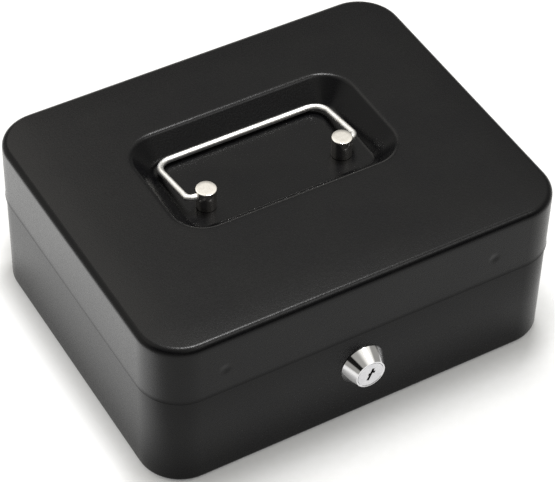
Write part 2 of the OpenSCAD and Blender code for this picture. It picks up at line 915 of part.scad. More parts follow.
module coin_tray() {
    cup_w = (2 * (body_x - tray_t) - (cups - 1) * tray_t) / cups;
    cup_y = tray_front + tray_rim + tray_t;
    note_y = cup_y + cup_d + tray_t;
    note_d = tray_back - tray_rim - tray_t - note_y;
    note_w = body_x - tray_t - tray_t / 2;
    color("#222224")
        difference() {
            union() {
                translate([0, tray_mid, tray_top - tray_rim_t])
                    linear_extrude(tray_rim_t)
                        rounded(tray_x, tray_d / 2, tray_r);
                translate([0, tray_mid, tray_top - tray_h])
                    linear_extrude(tray_h - eps)
                        rounded(body_x, tray_d / 2 - tray_rim, body_r);
            }
            intersection() {
                translate([0, tray_mid, tray_top - tray_h])
                    linear_extrude(tray_h + 2 * cut)
                        rounded(body_x - tray_t, tray_d / 2 - tray_rim - tray_t, body_r - tray_t);
                union() {
                    for (i = [0:cups - 1])
                        cup(-body_x + tray_t + i * (cup_w + tray_t), cup_w, cup_y, cup_d, cup_r);
                    for (i = [0, 1])
                        cup(i * (note_w + tray_t) - note_w - tray_t / 2, note_w, note_y, note_d, note_r);
                }
            }
        }
}

base_shell();
base_hinge_leaf();
base_rivets();
hinge_pin();
lock_barrel();
lock_washer();
lock_nut();
lock_plug();
lock_wafers();
lock_cam();
cam_washer();
cam_screw();
tray_ledge_left();
tray_ledge_right();
coin_tray();
lid_shell();
lid_hinge_leaf();
lid_rivets();
lid_catch();
handle_post_left();
handle_post_right();
post_washers();
post_screws();
handle_bail();
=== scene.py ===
from math import acos, atan2, cos, hypot, pi, radians, sin

import bmesh
import bpy
from mathutils import Matrix, Vector


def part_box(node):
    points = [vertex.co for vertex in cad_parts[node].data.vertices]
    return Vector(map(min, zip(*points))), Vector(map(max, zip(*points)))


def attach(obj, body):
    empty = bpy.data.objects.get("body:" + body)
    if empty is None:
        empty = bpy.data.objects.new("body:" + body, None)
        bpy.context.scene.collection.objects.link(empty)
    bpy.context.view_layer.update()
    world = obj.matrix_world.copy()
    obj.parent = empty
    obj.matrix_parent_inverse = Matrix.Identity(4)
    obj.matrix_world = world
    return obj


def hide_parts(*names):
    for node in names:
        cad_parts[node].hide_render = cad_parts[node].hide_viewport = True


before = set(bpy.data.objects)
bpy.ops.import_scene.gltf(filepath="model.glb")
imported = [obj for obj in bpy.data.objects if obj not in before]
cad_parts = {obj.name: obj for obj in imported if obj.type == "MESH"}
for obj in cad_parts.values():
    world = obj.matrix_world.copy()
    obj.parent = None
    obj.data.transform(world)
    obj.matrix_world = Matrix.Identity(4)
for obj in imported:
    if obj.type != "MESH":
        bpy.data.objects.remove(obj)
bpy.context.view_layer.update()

mm = 0.001
arcSteps = 16  # steps of a quarter turn in the outlines seen from above
leastR = 0.5  # mm, no corner of those outlines is sharper


def lowHigh(node):
    # corners of a node's box, in metres
    low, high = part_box(node)
    return Vector(low), Vector(high)


def linear(hexColour):
    # sRGB hex to the linear values that the shaders want
    out = []
    for i in (1, 3, 5):
        c = int(hexColour[i:i + 2], 16) / 255
        out.append(c / 12.92 if c <= 0.04045 else ((c + 0.055) / 1.055) ** 2.4)
    return (*out, 1.0)


# outlines and meshes, all in mm until meshObject turns them to metres


def roundedOutline(halfX, halfY, r, runX, runY):
    # points round a rounded rectangle, counter-clockwise from the +X side's lower end
    # runX and runY are the fractions, 0 to 1, at which the straight sides get points
    r = max(r, leastR)
    points = []
    corners = ((halfX - r, -halfY + r, -90), (halfX - r, halfY - r, 0),
               (-halfX + r, halfY - r, 90), (-halfX + r, -halfY + r, 180))
    for i, (cx, cy, start) in enumerate(corners):
        for k in range(arcSteps + 1):
            a = radians(start + 90 * k / arcSteps)
            points.append((cx + r * cos(a), cy + r * sin(a)))
        nx, ny = corners[(i + 1) % 4][:2]
        a = radians(start + 90)
        x0, y0 = cx + r * cos(a), cy + r * sin(a)
        x1, y1 = nx + r * cos(a), ny + r * sin(a)
        for t in (runY if i % 2 == 0 else runX):
            points.append((x0 + (x1 - x0) * t, y0 + (y1 - y0) * t))
    return points


def bend(cx, cz, r, start, end, steps):
    # arc of a section: centre, radius, angles in degrees
    return [(cx + r * cos(radians(start + (end - start) * k / steps)),
             cz + r * sin(radians(start + (end - start) * k / steps))) for k in range(steps + 1)]


def meshObject(name, verts, faces):
    mesh = bpy.data.meshes.new(name)
    mesh.from_pydata([tuple(c * mm for c in v) for v in verts], [], faces)
    mesh.validate()
    made = bmesh.new()
    made.from_mesh(mesh)
    bmesh.ops.recalc_face_normals(made, faces=made.faces)
    made.to_mesh(mesh)
    made.free()
    obj = bpy.data.objects.new(name, mesh)
    bpy.context.scene.collection.objects.link(obj)
    return obj


def ringSkin(name, rings, capFirst=False, capLast=False, wrap=False):
    # joins rings of the same number of points, each a closed loop
    count = len(rings[0])
    verts = [p for ring in rings for p in ring]
    faces = []
    pairs = len(rings) if wrap else len(rings) - 1
    for i in range(pairs):
        a = i * count
        b = ((i + 1) % len(rings)) * count
        for k in range(count):
            n = (k + 1) % count
            faces.append((a + k, a + n, b + n, b + k))
    if capFirst:
        faces.append(tuple(range(count)))
    if capLast:
        faces.append(tuple(range((len(rings) - 1) * count, len(rings) * count)))
    return meshObject(name, verts, faces)


def turned(name, section, steps, place):
    # turns a closed section of (radius, height) points about the z axis, then places it
    rings = []
    for k in range(steps):
        a = 2 * pi * k / steps
        rings.append([place @ Vector((r * cos(a), r * sin(a), h)) for r, h in section])
    return ringSkin(name, rings, wrap=True)


def wire(name, path, radius, sides, flatNormal):
    # a round wire along points that lie in one plane, with flat ends
    rings = []
    count = len(path)
    for i, p in enumerate(path):
        along = (path[min(i + 1, count - 1)] - path[max(i - 1, 0)]).normalized()
        side = along.cross(flatNormal).normalized()
        rings.append([p + radius * (cos(2 * pi * k / sides) * side + sin(2 * pi * k / sides) * flatNormal)
                      for k in range(sides)])
    return ringSkin(name, rings, capFirst=True, capLast=True)


def smooth(obj, degrees):
    # shades round, but keeps edges that turn by more than the given angle
    for face in obj.data.polygons:
        face.use_smooth = True
    obj.data.set_sharp_from_angle(angle=radians(degrees))


def finishPiece(obj, body, material, node):
    # gives a piece its finish, hangs it on its body and lets it stand in for its CAD node
    obj.data.materials.clear()
    obj.data.materials.append(material)
    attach(obj, body)
    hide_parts(node)


edgeSet = {"weld": 0.002, "segments": 2, "sharpest": 40}  # mm, rows, degrees


def dress(node, material, edge=0.0):
    # a CAD node keeps its shape and gets its finish, and a fine bevel where its edges are sharp
    s = edgeSet
    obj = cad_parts[node]
    for i in range(max(1, len(obj.material_slots))):
        if len(obj.material_slots) <= i:
            obj.data.materials.append(material)
        obj.material_slots[i].material = material
    if edge:
        weld = obj.modifiers.new("weld", "WELD")
        weld.merge_threshold = s["weld"] * mm
        bevel = obj.modifiers.new("edge", "BEVEL")
        bevel.width = edge * mm
        bevel.segments = s["segments"]
        bevel.limit_method = "ANGLE"
        bevel.angle_limit = radians(s["sharpest"])
        bevel.harden_normals = False


# finishes


def addNode(tree, kind, settings=None, links=None):
    # settings go to the node's inputs where it has one of that name, and otherwise to the node
    node = tree.nodes.new(kind)
    for key, value in (settings or {}).items():
        if key in node.inputs.keys():
            node.inputs[key].default_value = value
        else:
            setattr(node, key, value)
    for key, source in (links or {}).items():
        tree.links.new(source, node.inputs[key])
    return node


def newFinish(name, values):
    material = bpy.data.materials.new(name)
    material.use_nodes = True
    tree = material.node_tree
    shader = next(n for n in tree.nodes if n.type == "BSDF_PRINCIPLED")
    for key, value in values.items():
        shader.inputs[key].default_value = value
    where = addNode(tree, "ShaderNodeTexCoord").outputs["Object"]
    return material, tree, shader, where


def stops(ramp, *pairs):
    # sets a ramp's stops: (place, colour or grey)
    elements = ramp.color_ramp.elements
    while len(elements) < len(pairs):
        elements.new(0.5)
    for element, (place, value) in zip(elements, pairs):
        element.position = place
        element.color = value if isinstance(value, tuple) else (value, value, value, 1.0)
    return ramp


def powderCoatedSteel():
    # satin black polyester powder over steel: near black in itself, greyed by a broad soft sheen,
    # with a fine grit that breaks highlights up and sheet that isn't quite flat
    look = {"dark": "#08080a", "light": "#0b0b0c", "ior": 1.25, "roughness": (0.23, 0.31),
            "gritMm": 0.85, "gritRise": 0.037,  # drawn coarser than real grit, so that it shows
            "peelMm": 2.6, "peelRise": 0.008,  # the slight orange peel of a cured powder
            "waveMm": 48.0, "waveRise": 0.28,  # pressed sheet, not quite flat
            "cloudMm": 18.0}
    material, tree, shader, where = newFinish("powderCoatedSteel", {"IOR": look["ior"], "Metallic": 0.0})
    cloud = addNode(tree, "ShaderNodeTexNoise", {"Scale": 1 / (look["cloudMm"] * mm), "Detail": 4.0},
                    {"Vector": where})
    tone = stops(addNode(tree, "ShaderNodeValToRGB", links={"Fac": cloud.outputs["Fac"]}),
                 (0.35, linear(look["dark"])), (0.65, linear(look["light"])))
    tree.links.new(tone.outputs["Color"], shader.inputs["Base Color"])
    grit = addNode(tree, "ShaderNodeTexNoise", {"Scale": 1 / (look["gritMm"] * mm), "Detail": 3.0,
                                                "Roughness": 0.6}, {"Vector": where})
    rough = addNode(tree, "ShaderNodeMapRange", {"From Min": 0.3, "From Max": 0.7,
                                                 "To Min": look["roughness"][0],
                                                 "To Max": look["roughness"][1]},
                    {"Value": grit.outputs["Fac"]})
    tree.links.new(rough.outputs["Result"], shader.inputs["Roughness"])
    wave = addNode(tree, "ShaderNodeTexNoise", {"Scale": 1 / (look["waveMm"] * mm), "Detail": 1.0},
                   {"Vector": where})
    peel = addNode(tree, "ShaderNodeTexNoise", {"Scale": 1 / (look["peelMm"] * mm), "Detail": 2.0},
                   {"Vector": where})
    low = addNode(tree, "ShaderNodeBump", {"Strength": 1.0, "Distance": look["waveRise"] * mm},
                  {"Height": wave.outputs["Fac"]})
    mid = addNode(tree, "ShaderNodeBump", {"Strength": 1.0, "Distance": look["peelRise"] * mm},
                  {"Height": peel.outputs["Fac"], "Normal": low.outputs["Normal"]})
    fine = addNode(tree, "ShaderNodeBump", {"Strength": 1.0, "Distance": look["gritRise"] * mm},
                   {"Height": grit.outputs["Fac"], "Normal": mid.outputs["Normal"]})
    tree.links.new(fine.outputs["Normal"], shader.inputs["Normal"])
    return material


def platedMetal(name, colour, stain, roughness, hairMm, hazeMm, rise):
    # a hard metal skin: colour where it is clean, stain where it is hazed, roughness from clean to
    # scratched, and hairlines of a spacing and rise in mm, drawn coarser than real ones to show
    hairStretch = 6.0  # how much longer the hairlines are than apart
    material, tree, shader, where = newFinish(name, {"Metallic": 1.0})
    haze = addNode(tree, "ShaderNodeTexNoise", {"Scale": 1 / (hazeMm * mm), "Detail": 5.0},
                   {"Vector": where})
    tone = stops(addNode(tree, "ShaderNodeValToRGB", links={"Fac": haze.outputs["Fac"]}),
                 (0.3, linear(stain)), (0.7, linear(colour)))
    tree.links.new(tone.outputs["Color"], shader.inputs["Base Color"])
    stretch = addNode(tree, "ShaderNodeMapping", {"Scale": (1.0, hairStretch, 1.0)}, {"Vector": where})
    hair = addNode(tree, "ShaderNodeTexNoise", {"Scale": 1 / (hairMm * mm), "Detail": 2.0},
                   {"Vector": stretch.outputs["Vector"]})
    rough = addNode(tree, "ShaderNodeMapRange", {"From Min": 0.35, "From Max": 0.7,
                                                 "To Min": roughness[0], "To Max": roughness[1]},
                    {"Value": hair.outputs["Fac"]})
    tree.links.new(rough.outputs["Result"], shader.inputs["Roughness"])
    bump = addNode(tree, "ShaderNodeBump", {"Strength": 0.5, "Distance": rise * mm},
                   {"Height": hair.outputs["Fac"]})
    tree.links.new(bump.outputs["Normal"], shader.inputs["Normal"])
    return material


def mouldedPolystyrene():
    # black moulded polystyrene: an even spark-eroded grain that scatters the gloss
    look = {"dark": "#141415", "light": "#1a1a1b", "ior": 1.59, "roughness": (0.38, 0.55),
            "grainMm": 0.5, "rise": 0.02,  # drawn coarser than the real grain, so that it can show
            "cloudMm": 25.0}
    material, tree, shader, where = newFinish("mouldedPolystyrene", {"IOR": look["ior"]})
    grain = addNode(tree, "ShaderNodeTexVoronoi", {"Scale": 1 / (look["grainMm"] * mm)}, {"Vector": where})
    cloud = addNode(tree, "ShaderNodeTexNoise", {"Scale": 1 / (look["cloudMm"] * mm), "Detail": 3.0},
                    {"Vector": where})
    tone = stops(addNode(tree, "ShaderNodeValToRGB", links={"Fac": cloud.outputs["Fac"]}),
                 (0.3, linear(look["dark"])), (0.7, linear(look["light"])))
    rough = addNode(tree, "ShaderNodeMapRange", {"To Min": look["roughness"][0],
                                                 "To Max": look["roughness"][1]},
                    {"Value": cloud.outputs["Fac"]})
    bump = addNode(tree, "ShaderNodeBump", {"Strength": 0.6, "Distance": look["rise"] * mm},
                   {"Height": grain.outputs["Distance"]})
    tree.links.new(tone.outputs["Color"], shader.inputs["Base Color"])
    tree.links.new(rough.outputs["Result"], shader.inputs["Roughness"])
    tree.links.new(bump.outputs["Normal"], shader.inputs["Normal"])
    return material


def paintedLightFloor():
    # white acrylic whose glow is painted light, shaped by where the box stands: a painted shadow right at
    # its foot, a painted pool of light round it that dims far off, and a painted bright strip along the
    # left side, whose wall mirrors it; distances are in metres
    look = {"colour": "#b0b0af", "fibre": "#b4b4b4", "fibreMm": 4.0, "roughness": 0.6, "ior": 1.3,
            "halfX": 0.0797, "halfY": 0.0602, "cornerR": 0.0197,  # centres of the box's corner arcs
            # glow at the foot, near the box and far off: a painted shadow at the foot, rising over a short
            # reach to a painted pool of light that dims far away; then a painted bright strip along the
            # left side
            "foot": 0.16, "near": 0.46, "paintedShadowReach": 0.018,
            "far": 0.60, "farFrom": 0.16, "farTo": 0.36,
            "strip": 1.36, "stripX": (-0.150, -0.086), "stripY": (-0.105, -0.050),
            "stripFrom": 0.10, "stripTo": 0.22}
    material, tree, shader, where = newFinish("whiteAcrylicPaintedGlow", {"Roughness": look["roughness"],
                                                                  "IOR": look["ior"]})
    shader.inputs["Emission Color"].default_value = (1, 1, 1, 1)
    fibre = addNode(tree, "ShaderNodeTexNoise", {"Scale": 1 / (look["fibreMm"] * mm), "Detail": 4.0},
                    {"Vector": where})
    tone = stops(addNode(tree, "ShaderNodeValToRGB", links={"Fac": fibre.outputs["Fac"]}),
                 (0.3, linear(look["colour"])), (0.7, linear(look["fibre"])))
    tree.links.new(tone.outputs["Color"], shader.inputs["Base Color"])

    # distance from the centres of the corner arcs, which is cornerR at the box's own outline
    side = addNode(tree, "ShaderNodeVectorMath", {"operation": "ABSOLUTE"}, {0: where})
    past = addNode(tree, "ShaderNodeVectorMath", {"operation": "SUBTRACT"}, {0: side.outputs["Vector"]})
    past.inputs[1].default_value = (look["halfX"], look["halfY"], 1.0)
    out = addNode(tree, "ShaderNodeVectorMath", {"operation": "MAXIMUM"}, {0: past.outputs["Vector"]})
    length = addNode(tree, "ShaderNodeVectorMath", {"operation": "LENGTH"}, {0: out.outputs["Vector"]})
    split = addNode(tree, "ShaderNodeSeparateXYZ", links={"Vector": where})

    # what drives each soft step, where it starts and ends, and its first and last value
    away, r = length.outputs["Value"], look["cornerR"]
    # near: painted shadow at the foot rising to the painted pool of light; far: the pool dims; strip,
    # beside and within: the painted bright strip on the left
    steps = {"near": (away, r, r + look["paintedShadowReach"], look["foot"], look["near"]),
             "far": (away, r + look["farFrom"], r + look["farTo"], 1.0, look["far"]),
             "strip": (split.outputs["X"], *look["stripX"], look["strip"], 0.0),
             "beside": (split.outputs["Y"], *look["stripY"], 0.0, 1.0),
             "within": (away, r + look["stripFrom"], r + look["stripTo"], 1.0, 0.0)}
    eased = {}
    for name, (source, low, high, first, last) in steps.items():
        step = addNode(tree, "ShaderNodeMapRange", {"interpolation_type": "SMOOTHSTEP", "From Min": low,
                                                    "From Max": high, "To Min": first, "To Max": last},
                       {"Value": source})
        eased[name] = step.outputs["Result"]
    across = addNode(tree, "ShaderNodeMath", {"operation": "MULTIPLY"},
                     {0: eased["strip"], 1: eased["beside"]})
    band = addNode(tree, "ShaderNodeMath", {"operation": "MULTIPLY"},
                   {0: across.outputs["Value"], 1: eased["within"]})
    both = addNode(tree, "ShaderNodeMath", {"operation": "ADD"},
                   {0: eased["near"], 1: band.outputs["Value"]})
    glow = addNode(tree, "ShaderNodeMath", {"operation": "MULTIPLY"},
                   {0: both.outputs["Value"], 1: eased["far"]})
    # the painted shade and light go out as the floor's glow
    tree.links.new(glow.outputs["Value"], shader.inputs["Emission Strength"])
    return material


coat = powderCoatedSteel()
# polished zinc casting under bright chrome: mirrors the studio in crisp bands
chrome = platedMetal("polishedChromePlate", "#e6e6e7", "#dcdcde", (0.05, 0.10), 0.5, 6.0, 0.001)
# drawn steel wire under satin chrome: nearly white along its length, with soft edges
wireChrome = platedMetal("satinChromeWire", "#ffffff", "#f6f4f1", (0.32, 0.40), 0.5, 4.0, 0.002)
# turned steel under chrome, faintly warm: a pale face on top, sides that mirror the dark lid
postChrome = platedMetal("turnedChromePost", "#ebe8e4", "#dfdbd6", (0.09, 0.15), 0.4, 1.6, 0.002)
# brushed brass under chrome: an even pale face round the key slot
plugChrome = platedMetal("satinChromePlate", "#dcdcde", "#cfcfd2", (0.16, 0.28), 0.3, 3.0, 0.003)
# steel under clear-passivated zinc: bluish grey, hazy and a little streaked
zinc = platedMetal("brightZincPlate", "#c9ccd2", "#aeb2ba", (0.22, 0.38), 0.6, 2.5, 0.004)
# stamped brass sheet: warm yellow with a dull stain
brass = platedMetal("stampedBrass", "#d9b667", "#c39c4c", (0.2, 0.34), 0.4, 2.0, 0.003)
plastic = mouldedPolystyrene()
print("finishes made")

# the lid, in mm; the recess is measured at its mouth, and its middle from the middle of the posts
lidSet = {"sheet": 0.8, "cornerR": 20.0, "edgeR": 3.2, "crownWidth": 15.0, "crownDrop": 0.38,
          "flare": 0.25, "flareHeight": 2.2, "hem": 0.15,
          "recessW": 113.6, "recessD": 66.4, "aheadOfPosts": (0.4, 9.7), "recessDepth": 10.5,
          "recessR": 17.0, "slope": 12.3, "lipR": 3.4, "footR": 2.4,
          "dimpleX": (-69.2, 62.3), "dimpleZ": 63.2, "dimpleR": 3.4, "dimpleDepth": 0.32,
          "frontFace": 0.1,  # points this near the front plane are the ones that get pressed in
          # how finely it is drawn
          "edgeTurn": 84, "edgeSteps": 9, "innerEdgeSteps": 6, "crownSteps": 6, "flareSteps": 4,
          "recessSteps": 10, "panelParts": (0.06, 0.35, 0.7, 1.0), "runStepsX": 12, "runStepsY": 10,
          "dimpleStep": 0.5, "dimpleMarks": 7, "belowEdge": (2, 5), "aboveFlare": 4, "sharpest": 50}


def recessPath(s, under):
    # section of the recess, from its floor up to its mouth, as (distance in from the mouth, height);
    # under is how far the surface lies below the sheet's upper face
    foot, lip = s["footR"] + under, s["lipR"] - under
    drop = s["recessDepth"] - s["lipR"] - s["footR"]
    a = acos(-(s["lipR"] + s["footR"]) / hypot(drop, s["slope"])) - atan2(s["slope"], drop)
    turns = [a * k / s["recessSteps"] for k in range(s["recessSteps"] + 1)]
    return ([(s["slope"] - foot * sin(t), s["footR"] - s["recessDepth"] - foot * cos(t)) for t in turns]
            + [(lip * sin(t), lip * cos(t) - s["lipR"]) for t in reversed(turns)])


def postMiddle():
    # the middle between the two posts, at the height of their tops, in mm
    low = lowHigh("handle_post_left")[0]
    high = lowHigh("handle_post_right")[1]
    middle = (low + high) / 2 / mm
    return Vector((middle.x, middle.y, high.z / mm))


def buildLid():
    s = lidSet
    low, high = lowHigh("lid_shell")
    halfX, halfY = high.x / mm, high.y / mm
    top, seam, t = high.z / mm, low.z / mm, s["sheet"]
    posts = postMiddle()
    recessX, recessY = posts.x + s["aheadOfPosts"][0], posts.y + s["aheadOfPosts"][1]
    marks = [s["dimpleStep"] * k for k in range(-s["dimpleMarks"], s["dimpleMarks"] + 1)]
    # the straight sides get points at even steps, and close together where the dimples are
    stepsX = sorted({round(0.5 + (x + d) / (2 * (halfX - s["cornerR"])), 5)
                     for x in s["dimpleX"] for d in marks}
                    | {k / s["runStepsX"] for k in range(1, s["runStepsX"])})
    stepsY = [k / s["runStepsY"] for k in range(1, s["runStepsY"])]

    def outer(inset, z):
        ring = roundedOutline(halfX - inset, halfY - inset, s["cornerR"] - inset, stepsX, stepsY)
        return [(x, y, z) for x, y in ring]

    def mouth(inset, z):
        ring = roundedOutline(s["recessW"] / 2 - inset, s["recessD"] / 2 - inset,
                              s["recessR"] - inset, stepsX, stepsY)
        return [(x + recessX, y + recessY, z) for x, y in ring]

    def between(a, b, f, z):
        return [(p[0] + (q[0] - p[0]) * f, p[1] + (q[1] - p[1]) * f, z) for p, q in zip(a, b)]

    # upper face: the recess, the flat panel, its slight fall towards the edge, then the bend
    rings = [mouth(inset, top + z) for inset, z in recessPath(s, 0.0)]
    crownEnd, edge = s["edgeR"] + s["crownWidth"], top - s["crownDrop"]
    panel = outer(crownEnd, top)
    rings += [between(mouth(0, top), panel, f, top) for f in s["panelParts"]]
    for k in range(1, s["crownSteps"] + 1):
        f = k / s["crownSteps"]
        rings.append(outer(s["edgeR"] + s["crownWidth"] * (1 - f), top - s["crownDrop"] * f * f))
    for x, z in bend(s["edgeR"], edge - s["edgeR"], s["edgeR"], s["edgeTurn"], 0, s["edgeSteps"]):
        rings.append(outer(2 * s["edgeR"] - x, z))
    # the skirt down to its flare and its hem
    zTop, zLow = edge - s["edgeR"], seam + s["flareHeight"]
    rings += [outer(0, zTop - drop) for drop in s["belowEdge"]]
    rings += [outer(0, s["dimpleZ"] + d) for d in reversed(marks)]
    rings += [outer(0, zLow + s["aboveFlare"]), outer(0, zLow)]
    for k in range(1, s["flareSteps"] + 1):
        f = k / s["flareSteps"]
        lift = s["hem"] if k == s["flareSteps"] else 0
        rings.append(outer(-s["flare"] * f * f, zLow - (zLow - seam) * f + lift))
    rings.append(outer(-s["flare"] + s["hem"], seam))
    rings.append(outer(-s["flare"] + t - s["hem"], seam))
    # the inner face, back up to the recess
    rings += [outer(t, zLow), outer(t, zTop)]
    for x, z in bend(s["edgeR"], edge - s["edgeR"], s["edgeR"] - t, 0, s["edgeTurn"], s["innerEdgeSteps"]):
        rings.append(outer(2 * s["edgeR"] - x, z))
    rings.append(outer(crownEnd, top - t))
    rings.append(between(mouth(0, top - t), panel, s["panelParts"][0], top - t))
    rings += [mouth(inset, top + z) for inset, z in reversed(recessPath(s, t))]
    lid = ringSkin("lidSkin", rings, capFirst=True, capLast=True)

    # two weld dimples, pressed into the front of the skirt
    for v in lid.data.vertices:
        x, y, z = v.co / mm
        if y > -halfY + s["frontFace"]:
            continue
        for dx in s["dimpleX"]:
            d = hypot(x - dx, z - s["dimpleZ"])
            if d < s["dimpleR"]:
                v.co.y += s["dimpleDepth"] * mm * 0.5 * (1 + cos(pi * d / s["dimpleR"]))
    smooth(lid, s["sharpest"])
    finishPiece(lid, "lid", coat, "lid_shell")


buildLid()
print("lid made")

# the base, in mm; rimFoot and rimEdge are the (sideways, upright) parts of small roundings
baseSet = {"sheet": 0.8, "cornerR": 19.7, "edgeR": 2.4, "rimIn": 0.9, "shoulder": 49.7,
           "shoulderR": 0.5, "dish": 0.5, "dishIn": 14.0,
           "dishParts": ((3, 1.0), (1, 0.9), (-1, 0.1), (-3, 0.0)),  # (past dishIn, share of the rise)
           "rimFoot": (0.05, 0.1), "rimEdge": (0.2, 0.25), "joggle": 0.4, "aboveEdge": 6,
           # how finely it is drawn
           "edgeSteps": 8, "innerEdgeSteps": 6, "shoulderSteps": 4, "runSteps": 12, "sharpest": 50}


def buildBase():
    s = baseSet
    high = lowHigh("base_shell")[1]
    halfX, halfY, rimTop, t = high.x / mm, high.y / mm, high.z / mm, s["sheet"]
    steps = [k / s["runSteps"] for k in range(1, s["runSteps"])]

    def ring(inset, z):
        outline = roundedOutline(halfX - inset, halfY - inset, s["cornerR"] - inset, steps, steps)
        return [(x, y, z) for x, y in outline]

    # the bottom is pressed up a little inside a flat border, so the box stands on its border
    rings = [ring(s["dishIn"] + d, s["dish"] * f) for d, f in s["dishParts"]]
    for x, z in bend(s["edgeR"], s["edgeR"], s["edgeR"], 270, 360, s["edgeSteps"]):
        rings.append(ring(2 * s["edgeR"] - x, z))
    # the wall, its shoulder under the lid, and the rim that the lid closes over
    r, rim, shoulder = s["shoulderR"], s["rimIn"], s["shoulder"]
    rings += [ring(0, s["edgeR"] + s["aboveEdge"]), ring(0, shoulder / 2), ring(0, shoulder - r)]
    for x, z in bend(r, shoulder - r, r, 0, 90, s["shoulderSteps"])[1:]:
        rings.append(ring(2 * r - x, z))
    footIn, footUp = s["rimFoot"]
    edgeIn, edgeDown = s["rimEdge"]
    for inset, z in ((rim - footIn, shoulder), (rim, shoulder + footUp), (rim, rimTop - edgeDown),
                     (rim + edgeIn, rimTop), (rim + t - edgeIn, rimTop), (rim + t, rimTop - edgeDown),
                     (rim + t, shoulder - t), (t, shoulder - t - s["joggle"]), (t, s["edgeR"])):
        rings.append(ring(inset, z))
    for x, z in bend(s["edgeR"], s["edgeR"], s["edgeR"] - t, 360, 270, s["innerEdgeSteps"])[1:]:
        rings.append(ring(2 * s["edgeR"] - x, z))
    rings += [ring(s["dishIn"] + d, t + s["dish"] * f) for d, f in reversed(s["dishParts"])]
    base = ringSkin("baseSkin", rings, capFirst=True, capLast=True)
    smooth(base, s["sharpest"])
    finishPiece(base, "base", coat, "base_shell")


buildBase()
print("base made")

# the bail, in mm, with the droop of its bar in degrees
bailSet = {"wireR": 1.5, "width": 84.1, "legs": 31.6, "cornerR": 7.5, "footR": 3.2, "footX": 32.65,
           "footRun": 0.3, "shift": -0.7, "pivotDrop": 2.75, "droop": 9.6,
           # how finely it is drawn
           "sides": 28, "footSteps": 12, "cornerSteps": 18, "runSteps": 8, "sharpest": 50}


def buildBail():
    s = bailSet
    x, runs = s["width"] / 2, s["runSteps"]
    # half of the wire's middle line, from its foot in the right post to the middle of its bar
    half = [(s["footX"], 0), (s["footX"] + s["footRun"], 0)]
    half += bend(x - s["footR"], s["footR"], s["footR"], -90, 0, s["footSteps"])
    for k in range(1, runs):
        half.append((x, s["footR"] + (s["legs"] - s["footR"] - s["cornerR"]) * k / runs))
    half += bend(x - s["cornerR"], s["legs"] - s["cornerR"], s["cornerR"], 0, 90, s["cornerSteps"])
    for k in range(1, runs):
        half.append(((x - s["cornerR"]) * (1 - k / runs), s["legs"]))
    flat = [*half, (0.0, s["legs"]), *[(-px, py) for px, py in reversed(half)]]
    slope = radians(-s["droop"])
    pivot = postMiddle() + Vector((s["shift"], 0, -s["pivotDrop"]))
    path = [pivot + Vector((px, py * cos(slope), py * sin(slope))) for px, py in flat]
    bail = wire("bailWire", path, s["wireR"], s["sides"], Vector((0, -sin(slope), cos(slope))))
    smooth(bail, s["sharpest"])
    finishPiece(bail, "bail", wireChrome, "handle_bail")


buildBail()

# one post, in mm
postSet = {"d": 9.4, "bevel": 0.35, "skirt": 0.25, "flatPart": 0.6,
           "core": 0.001,  # radius at the axis, just not zero
           "bevelSteps": 6, "turnSteps": 96, "sharpest": 40}


def buildPost(node, name):
    s = postSet
    low, high = lowHigh(node)
    foot, top, r = low.z / mm, high.z / mm, s["d"] / 2
    middle = (low + high) / 2 / mm
    section = [(s["core"], foot), (r - s["skirt"], foot), (r, foot + s["skirt"])]
    section += bend(r - s["bevel"], top - s["bevel"], s["bevel"], 0, 90, s["bevelSteps"])
    section += [(r * s["flatPart"], top), (s["core"], top)]
    post = turned(name, section, s["turnSteps"], Matrix.Translation((middle.x, middle.y, 0)))
    smooth(post, s["sharpest"])
    finishPiece(post, "lid", postChrome, node)


buildPost("handle_post_left", "postLeft")
buildPost("handle_post_right", "postRight")
print("handle made")

# the lock, in mm
lockSet = {"x": -2.2, "z": 30.3, "bezelD": 20.9, "faceD": 14.4, "bezelH": 7.1,
           "edge": 0.35, "edgeParts": ((1.0, 0.0), (0.35, 0.18), (0.0, 0.7)),  # shares: (inwards, back)
           "foot": ((0.15, 0.65), (0.0, 0.35), (0.05, 0.0)),  # bezel's foot: (inwards, ahead of the wall)
           "plugHeadD": 12.4, "plugHeadL": 2.4, "plugD": 10.4, "gap": 0.05, "headPlay": 0.1, "mouth": 0.25,
           "threadD": 16.0, "pitch": 1.0, "threadDepth": 0.45, "threadFrom": 1.0, "bareLength": 1.2,
           "chamfer": 0.3, "turnSteps": 128, "sharpest": 28}


def alongLock(y):
    # turned pieces of the lock: their own z runs inwards from y
    s = lockSet
    return Matrix.Translation((s["x"], y, s["z"])) @ Matrix.Rotation(radians(-90), 4, "X")


def buildBarrel():
    # section of (radius, distance behind the bezel's face); the thread is drawn as rings
    s = lockSet
    low, high = lowHigh("lock_barrel")
    face, end = low.y / mm, high.y / mm
    length, h, e = end - face, s["bezelH"], s["edge"]
    rFace, rWall, rThread = s["faceD"] / 2, s["bezelD"] / 2, s["threadD"] / 2
    rHead, rBore = s["plugHeadD"] / 2 + s["gap"], s["plugD"] / 2 + s["gap"]
    step = s["plugHeadL"] + s["headPlay"]
    section = [(rHead + s["mouth"], 0.0)]
    section += [(rFace - e * a, e * b) for a, b in s["edgeParts"]]
    section += [(rWall - a, h - b) for a, b in s["foot"]]
    section += [(rThread, h)]
    for k in range(int((length - h - s["bareLength"]) / s["pitch"])):
        at = h + s["threadFrom"] + k * s["pitch"]
        section += [(rThread, at), (rThread - s["threadDepth"], at + s["pitch"] * 0.5)]
    section += [(rThread, length - s["chamfer"]), (rThread - s["chamfer"], length), (rBore, length)]
    section += [(rBore, step), (rHead, step), (rHead, s["mouth"])]
    barrel = turned("lockBarrel", section, s["turnSteps"], alongLock(face))
    smooth(barrel, s["sharpest"])
    finishPiece(barrel, "base", chrome, "lock_barrel")


buildBarrel()
dress("lock_plug", plugChrome)
dress("lock_wafers", brass)
print("lock made")

